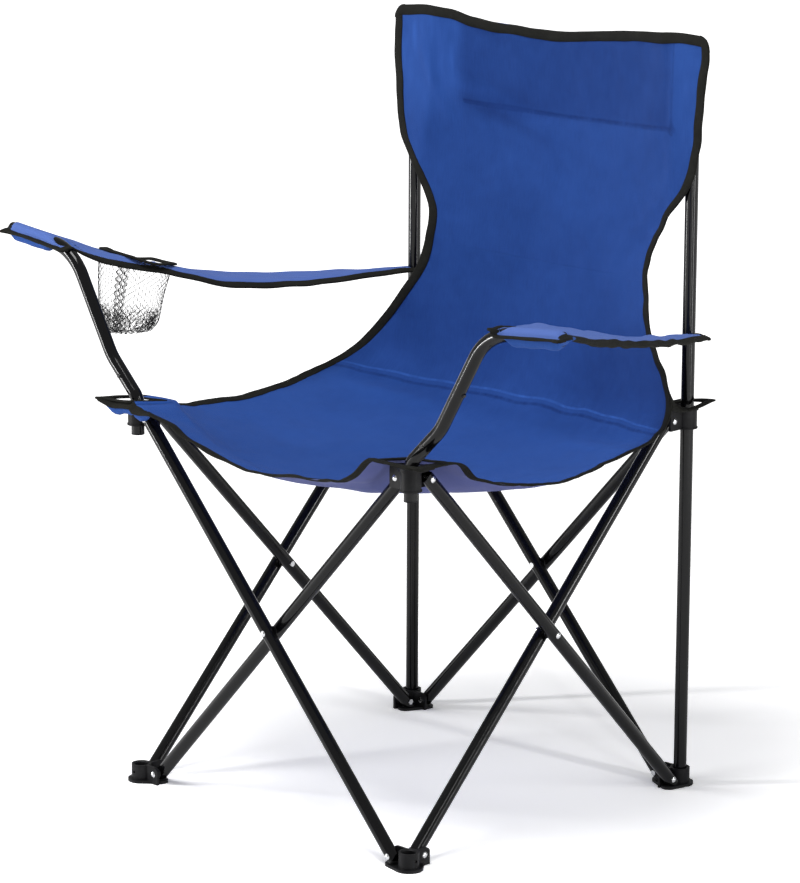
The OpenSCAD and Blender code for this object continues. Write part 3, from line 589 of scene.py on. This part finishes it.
def binding(name, path, inward, body, seed, wide=1.0, loose=1.0):
    """Tape folded over the edge that follows path. Inward points from the edge into the cloth,
    or is the cloth's own points at each place along the path, from its edge inwards."""
    cloth = inward if inward.ndim == 3 else None
    if cloth is not None:
        reach = lengths(cloth, 1)
        inward = at_depth(cloth, reach, [0.009] * len(path)) - path
    tangent = unit(np.gradient(path, axis=0))
    inward = unit(inward - tangent * np.sum(inward * tangent, -1, keepdims=True))
    over = np.cross(tangent, inward)
    run = lengths(path, 0)
    still = loose * np.minimum(1, np.minimum(run, run[-1] - run) / 0.02)
    sway = 0.0008 * ripple(seed, run, 0 * run, 0.045) * still
    lift = 0.0004 * ripple(seed + 50, run, 0 * run, 0.035) * still
    plump = 1 + 0.16 * ripple(seed + 90, run, 0 * run, 0.03)
    width = wide * (1 + 0.06 * ripple(seed + 20, run, 0 * run, 0.06))
    ring = (path[:, None]
            + inward[:, None] * (fold[None, :, :1] * width[:, None, None] + sway[:, None, None])
            + over[:, None] * (fold[None, :, 1:] * plump[:, None, None] + lift[:, None, None]))
    if cloth is not None:
        depth = fold[None, :, 0] * width[:, None]
        on_cloth = at_depth(cloth, reach, depth).transpose(0, 2, 1)
        shift = on_cloth - path[:, None] - inward[:, None] * depth[..., None]
        ring += np.where(depth[..., None] > 0, shift, 0)
    ring[0] -= tangent[0] * 0.0015
    ring[-1] += tangent[-1] * 0.0015
    uv = np.stack(np.broadcast_arrays(fold[None, :, 0], run[:, None]), -1)
    piece = surface(name, ring, uv, tape, closed=True)
    # Both ends of the tape are closed
    cap = bmesh.new()
    cap.from_mesh(piece.data)
    bmesh.ops.holes_fill(cap, edges=[edge for edge in cap.edges if edge.is_boundary], sides=0)
    bmesh.ops.recalc_face_normals(cap, faces=cap.faces[:])
    cap.to_mesh(piece.data)
    cap.free()
    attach(piece, body)
    return piece


binding("sling_binding_top", sling[0], sling[:4].transpose(1, 0, 2), "rear_left_stand", 11, wide=1.15)
binding("sling_binding_right", sling[:, 0], sling[:, :8], "rear_left_stand", 12, wide=1.1)
binding("sling_binding_left", sling[:, -1], sling[:, :-9:-1], "rear_left_stand", 13, wide=1.1)
binding("sling_binding_front", sling[-1], sling[:-7:-1].transpose(1, 0, 2), "rear_left_stand", 14, wide=1.1)

# Under the right corner the cloth's turned-in hem shows below the tape
brim = sling[-1, (sling[-1, :, 0] < -0.150) & (sling[-1, :, 0] > -0.236)]
brim_x, brim_y, brim_z = brim.T
fall = np.linspace(0, 1, 7)[:, None]
deep = 0.006 * ease(brim_x + 0.228, 0, 0.012) * (1 - ease(brim_x + 0.166, 0, 0.012)) + 0.001
deep *= 1 + 0.25 * ripple(16, brim_x, 0 * brim_x, 0.018)
flap = np.stack([brim_x + 0 * fall, brim_y + 0.003 + 0.004 * fall ** 2, brim_z - 0.001 - deep * fall], -1)
flap[..., 1] += 0.0012 * fall * ripple(15, brim_x, 0 * brim_x, 0.02)
hem = surface("sling_corner_hem_right", flap, laid_flat(flap), weave,
              attributes={"pale": 0.25 + 0 * flap[..., 0]})
thicken(hem, 0.0008)
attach(hem, "front_right_hub")


# The two corners that lie on the front hubs keep to them, and the rest gathers as the chair folds:
# its sides stay by the posts and hubs, the seat hangs down as a pouch and the back bows rearwards

def cut_off(piece, name, body, inside):
    """Takes the faces whose middles are inside off a piece, as a piece of its own on another body."""
    other = piece.copy()
    other.data = piece.data.copy()
    other.name = name
    bpy.context.scene.collection.objects.link(other)
    for made, kept in ((piece, False), (other, True)):
        mesh = bmesh.new()
        mesh.from_mesh(made.data)
        gone = [face for face in mesh.faces if inside(face.calc_center_median()) != kept]
        bmesh.ops.delete(mesh, geom=gone, context="FACES")
        mesh.to_mesh(made.data)
        mesh.free()
    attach(other, body)
    "cloth" if weave in piece.data.materials[:] else "tape"
    return other


def follow(piece, body, share):
    """As the chair folds, each point goes this share of the way with another body as well."""
    places = np.array([vert.co for vert in piece.data.vertices])
    shares = np.clip(share(*places.T), 0, 1)
    group = piece.vertex_groups.new(name=body)
    for index in np.flatnonzero(shares > 0.002):
        group.add([int(index)], float(shares[index]), "REPLACE")
    hook = piece.modifiers.new(body, "HOOK")
    hook.object = frame["bodies"][body]
    hook.vertex_group = body
    piece.modifiers.move(len(piece.modifiers) - 1, 0)


def gather(px, py, pz):
    """As the front feet come back, the seat's front edge comes with them and the back bows rearwards."""
    bow = ease(pz, 0.44, 0.56) * (py > 0.12) * np.clip(1 - (px / 0.19) ** 2, 0, 1)
    return np.clip((0.175 - py) / 0.353, 0, 1) + 0.42 * bow


def rise(px, py, pz):
    """The seat's sides go up with the hubs, and its middle and the upper back don't."""
    by_hub = np.maximum(ease(-py, 0.02, 0.17), ease(py, 0.0, 0.13))
    return ease(np.abs(px), 0.05, 0.178) * (0.45 + 0.55 * by_hub) * (1 - ease(pz, 0.42, 0.69))


sides = ((1, "left"), (-1, "right"))
bound = {edge: bpy.data.objects[f"sling_binding_{edge}"] for edge in ("top", "right", "left", "front")}
for piece in [seat, *bound.values()]:
    for side, word in sides:
        if piece in (bound["top"], bound["right" if side > 0 else "left"]):
            continue
        cut_off(piece, f"{piece.name}_corner_{word}", f"front_{word}_hub",
                                  lambda at, side=side: at.x * side > hub_edge and at.y < -hub_edge)
    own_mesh(piece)
    follow(piece, "front_left_foot", gather)
    follow(piece, "rear_left_hub", rise)

# ---- Post pockets ----
# A sleeve of the same cloth is sewn to the back of each top corner. It is open at the bottom,
# drawn flat at the top under the sling's binding, and the post stands in it.

# From the chair's middle to the axis of each post and hub, both sideways and front to rear
corner = 0.205
pocket_bottom = 0.6965
pocket_top = 0.8008

for side, word in sides:
    turn = np.linspace(-1, 1, 45)
    arc = np.clip(turn / 0.62, -1, 1) * math.pi / 2
    flange = np.sign(turn) * np.clip((np.abs(turn) - 0.62) / 0.38, 0, 1)
    level = np.concatenate([np.linspace(pocket_bottom, 0.790, 24), np.linspace(0.7925, pocket_top, 6)])
    level = level[:, None]
    flat = ease(level, 0.7943, pocket_top)
    drape = 0.0009 * ripple(21 + side, turn[None] * 0.03 + 0 * level, level + 0 * turn, 0.028)
    radius = 0.0089 + drape * (1 - np.abs(flange)) * (1 - flat)
    sewn_on = flange * np.where(flange * side > 0, 0.0055, 0.0125)
    px = corner * side + np.sin(arc) * (radius + 0.004 * flat) + sewn_on
    depth = np.cos(arc) ** 0.8 * (radius + 0.0075) * (1 - 0.86 * flat)
    py = 0.1967 + depth + 0.0006 * np.abs(flange)
    stands_up = np.interp(px, [-0.226, 0.19, 0.226], [0, 0.004, 0.007]) if side > 0 else 0 * px
    pz = level + (level - pocket_bottom) / 0.104 * stands_up
    grid = np.stack([px, py, pz], -1)
    shade = 0.08 - 0.5 * np.exp(-((level - 0.7035) / 0.0012) ** 2) + 0 * px
    sleeve = surface(f"pocket_{word}", grid, laid_flat(grid), weave, attributes={"pale": shade})
    thicken(sleeve, 0.0008)
    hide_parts(f"post_pocket_{word}")
    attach(sleeve, f"rear_{word}_stand")

# ---- Corner tabs ----
# At each front corner the seat has a square opening, bound with narrow tape, that drops over the
# arm tube on to the hub. At the back a loop of webbing on each side of the seat goes round the post.

for side, word in sides:
    # The opening's outline, as rows and columns of the sling's grid
    near, far = middle + side * 43, middle + side * 51
    first, last = len(upper) + 1, len(upper) + 9
    columns = range(near, far + side, side)
    lines = range(first, last + 1)
    outline = ([(first, c) for c in columns] + [(r, far) for r in lines][1:]
               + [(last, c) for c in reversed(columns)][1:] + [(r, near) for r in reversed(lines)][1:])
    path = np.array([sling[r, c] for r, c in outline])
    hub_middle = np.array([0.2085 * side, -0.2085, path[:, 2].mean()])
    trim = binding(f"tab_opening_front_{word}", path, path - hub_middle, f"front_{word}_hub", 31 + side,
                   wide=0.5, loose=0.5)
    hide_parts(f"corner_tab_front_{word}")

loop_z = 0.4178
for side, word in sides:
    turn = np.linspace(0, math.tau, 49)
    square = 0.022 / np.maximum(np.abs(np.cos(turn)), np.abs(np.sin(turn))) ** 0.86
    path = np.stack([
        corner * side + side * square * np.cos(turn), corner + square * np.sin(turn), 0 * turn], -1)
    outward = (path[:, 0] * side - corner + path[:, 1] - corner) / 0.044
    path[:, 2] = loop_z + 0.005 * ease(outward, 0, 1)
    loop = binding(f"tab_loop_rear_{word}", path, np.array([corner * side, corner, loop_z]) - path,
                   f"rear_{word}_hub", 36 + side, wide=0.85)
    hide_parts(f"corner_tab_rear_{word}")
    # The ear that joins the loop to the seat's side
    across = np.linspace(0, 1, 9)[None, :, None]
    reach = np.linspace(0, 1, 7)[:, None, None]
    rim = sling[:, -1 if side > 0 else 0]
    seat_side = np.array([curve(rim, place) for place in 79.5 + 7 * across[0, :, 0]])[None]
    loop_near = np.array([0.197 * side, 0.186, 0.4182])
    loop_far = np.array([0.224 * side, 0.185, loop_z])
    loop_side = loop_near * (1 - across) + loop_far * across
    grid = seat_side * (1 - reach) + loop_side * reach
    grid[..., 2] -= 0.002 * np.sin(math.pi * reach[..., 0])
    ear = surface(f"tab_ear_rear_{word}", grid, laid_flat(grid), tape)
    thicken(ear, 0.0016)
    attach(ear, f"rear_{word}_hub")
    follow(ear, f"front_{word}_foot", gather)

# ---- Armrests ----
# Each armrest is a tapering strap of doubled cloth, 112 mm wide at the front and 38 mm at the post.
# Its front is sewn into a sleeve round the arm tube, pinched flat at both ends. Its bound sides hang
# down a little, and a hole at the back drops over the rear post. The right one holds the cup net.

# Height of the rear end and sag of the middle; in millimetres, at eleven places from front to rear,
# the lift of the inner side, the lift of the outer side and how far the sides hang; and how far the
# front's outer tip is drawn in
shapes = {
    "left": (
        0.489, 0.008, [0, 6, 10, 11, 8, 5, 2.5, 2, 1.5, 1.5, 0.5], [0, -1, 0, 1, 2, 3, 3.5, 4, 4.5, 5, 4.5],
        [0, 6, 8, 8, 7, 7, 7, 6.5, 6, 5.5, 4.5], 0.002),
    "right": (
        0.506, 0.027, [0, -2, 1, 1.5, -1.5, 0, 3.5, 6, 7.5, 8.5, 6], [0, 0, -2, -4, -4, -3, -1, 3, 5, 4, 0],
        [0, 9, 9, 8, 8, 8, 8, 7, 6, 5.5, 4.5], 0.012)}
# The strap's inner front corner and how far its inner side comes in, its width at the front and how
# much it narrows, and its length along the chair
strap_x = 0.308
strap_in = 0.122
strap_width = 0.112
strap_taper = 0.074
strap_length = 0.424
# The arm tube's top stretch slopes up and out from this point on its axis
tube_x = 0.3387
tube_z = 0.57004
tube_slope = 0.0963
# Folded, the strap moves between the sleeve's back and the post's front
sleeve_back = -0.184
post_front = 0.190


def armrest_points(side, u, v, rear, sag, lift_in, lift_out, hang, tip):
    """Points of an armrest's top sheet, u from front to rear and v from inner to outer edge."""
    width = strap_width - strap_taper * u
    px = strap_x - strap_in * u + v * width
    front_z = 0.5778 + (strap_x + strap_width * v - tube_x) * tube_slope
    pz = front_z * (1 - u) + rear * u - 4 * sag * u * (1 - u)
    pz += (1 - v) * curve(lift_in, u * 10) / 1000 + v * curve(lift_out, u * 10) / 1000
    # Within 15 mm of each side the strap tips over and hangs
    over = np.clip(1 - np.minimum(v, 1 - v) * width / 0.015, 0, 1)
    hanging = curve(hang, u * 10) / 1000 * over ** 1.2
    px = px - np.sign(2 * v - 1) * hanging * 0.45 - tip * v ** 6 * (1 - ease(u, 0, 0.2))
    return np.stack([side * px, -corner + strap_length * u + 0 * v, pz - hanging], -1)


def loop_down(px, py, pz):
    """The feet stay down as the hubs rise, and the strap's middle stays down with them."""
    along = np.clip((py - sleeve_back) / (post_front - sleeve_back), 0, 1)
    return 0.9 * np.sin(math.pi * along) ** 0.7


cup = np.array([-0.32425, -0.099])
cup_radius = 0.036
strap_u = np.concatenate([np.linspace(0, 0.1, 14), np.linspace(0.11, 1, 84)])
strap_v = np.sort(np.concatenate([np.linspace(0, 1, 27), [0.015, 0.985]]))
for side, word in sides:
    body = f"front_{word}_hub"
    shape = shapes[word]
    tip = shape[-1]
    u, v = np.meshgrid(strap_u, strap_v, indexing="ij")
    sheet = armrest_points(side, u, v, *shape)
    run = lengths(sheet, 0)
    slack = 0.0013 * ripple(40 + side, run, v * 0.08, 0.07) + 0.0004 * ripple(43 + side, run, v * 0.08, 0.025)
    sheet[..., 2] += slack * ease(u, 0.06, 0.16) * (1 - ease(u, 0.90, 0.97))
    # The sleeve: over the tube, down in front of it to a bound edge, and back beneath it
    front_row = sheet[0]
    flat = np.maximum(1 - ease(strap_v, 0.13, 0.31), ease(strap_v, 0.86, 0.99))
    axis_z = tube_z + (np.abs(front_row[:, 0]) - tube_x) * tube_slope
    high = 0.0078 * (1 - flat) + 0.0012 * flat
    sheet[..., 2] -= (0.0078 - high) * (1 - ease(u, 0.0, 0.13))
    front_rows = []
    for angle, flange in ((90, 0.0062), (90, 0.003), (90, 0.0), (70, 0), (50, 0), (32, 0), (15, 0)):
        a = math.radians(angle)
        row_y = -corner - (0.0084 + 0.002 * flat) * math.sin(a) - flange
        front_rows.append(np.stack([front_row[:, 0], row_y, axis_z + high * math.cos(a)], -1))
    top_sheet = np.concatenate([np.array(front_rows), sheet])
    if side > 0:
        # The left one's inner front corner is drawn up over the tube
        back = np.concatenate([np.zeros(len(front_rows)), strap_u])[:, None]
        bunch = (1 - ease(strap_v, 0, 0.24)) * (1 - ease(back, 0.02, 0.13))
        top_sheet += bunch[..., None] * [0.015, 0.003, 0.008]
    lip_x = np.abs(top_sheet[:2, :, 0])
    top_sheet[:2, :, 2] += 0.0010 * ripple(47 + side, lip_x, 0 * lip_x, 0.05)
    uv = laid_flat(top_sheet)
    holes = [(corner * side, corner, 0.0079)]
    if side < 0:
        holes.append((*cup, cup_radius))
    # The strap's top is painted pale, as painted light on its upward face and a painted sheen; a narrow line
    # 33 mm along the cloth from its front edge is darker
    shade = 0.62 - 0.3 * np.exp(-((uv[..., 1] - 0.033) / 0.0015) ** 2)
    strap = surface(f"armrest_{word}_strap", top_sheet, uv, weave, attributes={"pale": shade}, holes=holes)
    thicken(strap, 0.0014)
    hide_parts(f"armrest_{word}")
    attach(strap, body)

    # Underside of the sleeve, from the bound front edge round beneath the tube to a seam behind it
    v = np.linspace(0.20, 0.985, 24)
    px = strap_x + (strap_width - tip * v ** 5) * v
    axis_z = tube_z + (px - tube_x) * tube_slope
    flat = np.maximum(1 - ease(v, 0.22, 0.36), ease(v, 0.84, 0.98))
    low = 0.0092 * (1 - flat) + 0.0012 * flat
    loose = 1 + 0.5 * ripple(50 + side, px, 0 * px, 0.03)
    under = [np.stack([side * px, np.full(24, -0.2165), axis_z - 0.0008], -1)]
    for angle in np.linspace(92, 238, 15):
        a = math.radians(angle)
        sag_down = 0.0018 * math.sin((a - math.pi / 2) * 1.2) * (1 - flat) * loose
        row_y = -corner - 0.0092 * math.sin(a) + 0 * px
        under.append(np.stack([side * px, row_y, axis_z + low * math.cos(a) - sag_down], -1))
    goal = armrest_points(side, 0.0448 + 0 * v, v, *shape) - [0, 0, 0.002]
    under += [under[-1] * (1 - reach) + goal * reach for reach in (0.45, 1.0)]
    under = np.array(under)
    sleeve = surface(f"armrest_{word}_sleeve", under, laid_flat(under), weave,
                     attributes={"pale": 0.22 + 0 * under[..., 0]})
    thicken(sleeve, 0.0008)
    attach(sleeve, body)

    tapes = {}
    for edge, path, inward, seed in (
            ("front", top_sheet[0], top_sheet[2] - top_sheet[0], 61),
            ("rear", top_sheet[-1], top_sheet[:-6:-1].transpose(1, 0, 2), 62),
            ("inner", top_sheet[:, 0], top_sheet[:, :10], 63),
            ("outer", top_sheet[:, -1], top_sheet[:, :-11:-1], 64)):
        tapes[edge] = binding(f"armrest_{word}_binding_{edge}", path, inward, body, seed + side * 4,
                              wide=0.85 if edge == "inner" else 1.0, loose=0.3)

    # Folded, the sleeve stays on the tube, the rear end slides up its post and the strap between them
    # closes up and hangs in a loop
    hung = (strap, tapes["inner"], tapes["outer"])
    for piece in hung:
        cut_off(piece, f"{piece.name}_sleeve", body, lambda at: at.y < sleeve_back)
        cut_off(piece, f"{piece.name}_end", f"rear_{word}_hub", lambda at: at.y > post_front)
    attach(tapes["rear"], f"rear_{word}_hub")
    for piece in hung:
        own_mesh(piece)
        follow(piece, f"front_{word}_foot", loop_down)

# ---- Cup net ----
# A bag of knitted net hangs in the right armrest's hole. Its rim is caught in a bound ring, its side
# seam is doubled, and the spare net bunches on its gathered floor.

floor_z = 0.463


def rim_height(px, py):
    """Height of the right armrest's cloth here."""
    u = (py + corner) / strap_length
    v = (-px - strap_x + strap_in * u) / (strap_width - strap_taper * u)
    return armrest_points(-1, u, v, *shapes["right"])[..., 2]


turn = np.linspace(0, math.tau, 73)
ring = np.stack([cup[0] + 0.0362 * np.cos(turn), cup[1] + 0.0362 * np.sin(turn), 0 * turn], -1)
ring[:, 2] = rim_height(ring[:, 0], ring[:, 1]) + 0.0028
hoop = binding("cup_hole_binding", ring, (ring - [*cup, 0]) * [1, 1, 0], "front_right_hub", 71, wide=0.75)

strands = bpy.data.curves.new("net_strands", "CURVE")
strands.dimensions = "3D"
strands.bevel_depth = 0.00026
strands.bevel_resolution = 0
draw = np.random.default_rng(81)


def strand(points):
    """One thread of the net through these points."""
    spline = strands.splines.new("POLY")
    spline.points.add(len(points) - 1)
    spline.points.foreach_set("co", np.column_stack([points, np.ones(len(points))]).ravel())


def bag(turn, level):
    """The net's wall and floor. Level is 1 at the rim, 0 at the foot of the wall and -1 in the
    floor's middle."""
    rim = rim_height(cup[0] + cup_radius * np.cos(turn), cup[1] + cup_radius * np.sin(turn)) - 0.0015
    up = np.clip(level, 0, 1)
    radius = 0.0355 - 0.0035 * (1 - up) ** 1.3 - 0.004 * np.exp(-(up / 0.08) ** 2)
    radius = radius + 0.007 * up * np.clip(-np.cos(turn - math.pi / 4), 0, 1)
    radius = np.where(level < 0, 0.028 * (1 + level) + 0.0005, radius)
    wobble = 1 + 0.05 * ripple(82, turn * 0.03, up * 0.07, 0.05) * (1 - 0.6 * up)
    height = floor_z + (rim - floor_z) * up - 0.0022 * np.clip(-level, 0, 1)
    height = height + 0.0015 * ripple(83, turn * 0.03, up * 0.07, 0.04) * (1 - up)
    lean = 0.0095 * (1 - up)
    return np.stack([cup[0] - lean + radius * wobble * np.cos(turn),
                     cup[1] - lean + radius * wobble * np.sin(turn), height], -1)


# The wall is 54 strands round and 21 rows high. Each run is its first strand and the one after its
# last, its shift sideways in strands and its rows: the wall, the side seam's and the bunched net
count = 54
rows_up = 21
for first, last, shift, high in (
        (0, count, 0, rows_up), (43, 46, 0.5, rows_up), (43, 46, 0.25, rows_up), (43, 46, 0.75, rows_up),
        (43, 46, 0.12, rows_up), (0, count, 0.37, 7), (0, count, 0.71, 5), (37, 49, 0.2, 6),
        (38, 48, 0.85, 5)):
    whole = high == rows_up
    for k in range(first, last):
        level, turn = [], []
        for row in range(high + 1):
            near = (k + shift + (0.27 if (k + row) % 2 else -0.27)) / count * math.tau
            jitter = draw.normal(0, 0.0035 if whole else 0.02)
            for part in (-0.14, 0.14):
                at = (row + 0.5 + part) / (rows_up + 0.5)
                level.append(at if whole else at * 0.9 + draw.normal(0, 0.008))
                turn.append(near + jitter)
        points = bag(np.array(turn), np.clip(level, 0, 1))
        if not whole:
            points[:, :2] += (cup - 0.009 - points[:, :2]) * draw.uniform(0.04, 0.22, (len(points), 1))
        if shift == 0:
            in_floor = np.linspace(-0.05, (-0.97, -0.62, -0.35)[k % 3], 7)
            floor_turn = turn[0] + 0.03 * np.array([0, 1, -1, 1, -1, 1, 0]) * (1 + 2 * np.abs(in_floor))
            points = np.vstack([bag(floor_turn, in_floor)[::-1], points])
        strand(points)
made = bpy.data.objects.new("cup_net_bag", strands)
bpy.context.scene.collection.objects.link(made)
bpy.context.view_layer.update()
mesh = bpy.data.meshes.new_from_object(made.evaluated_get(bpy.context.evaluated_depsgraph_get()))
bpy.data.objects.remove(made)
yarn = finish("net_yarn", Roughness=0.7, Specular_IOR_Level=0.3, Base_Color=(0.02, 0.02, 0.021, 1))[0]
mesh.materials.clear()
mesh.materials.append(yarn)
net = bpy.data.objects.new("cup_net_bag", mesh)
bpy.context.scene.collection.objects.link(net)
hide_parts("cup_net")
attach(net, "front_right_hub")
for piece in (hoop, net):
    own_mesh(piece)
    follow(piece, "front_right_foot", loop_down)
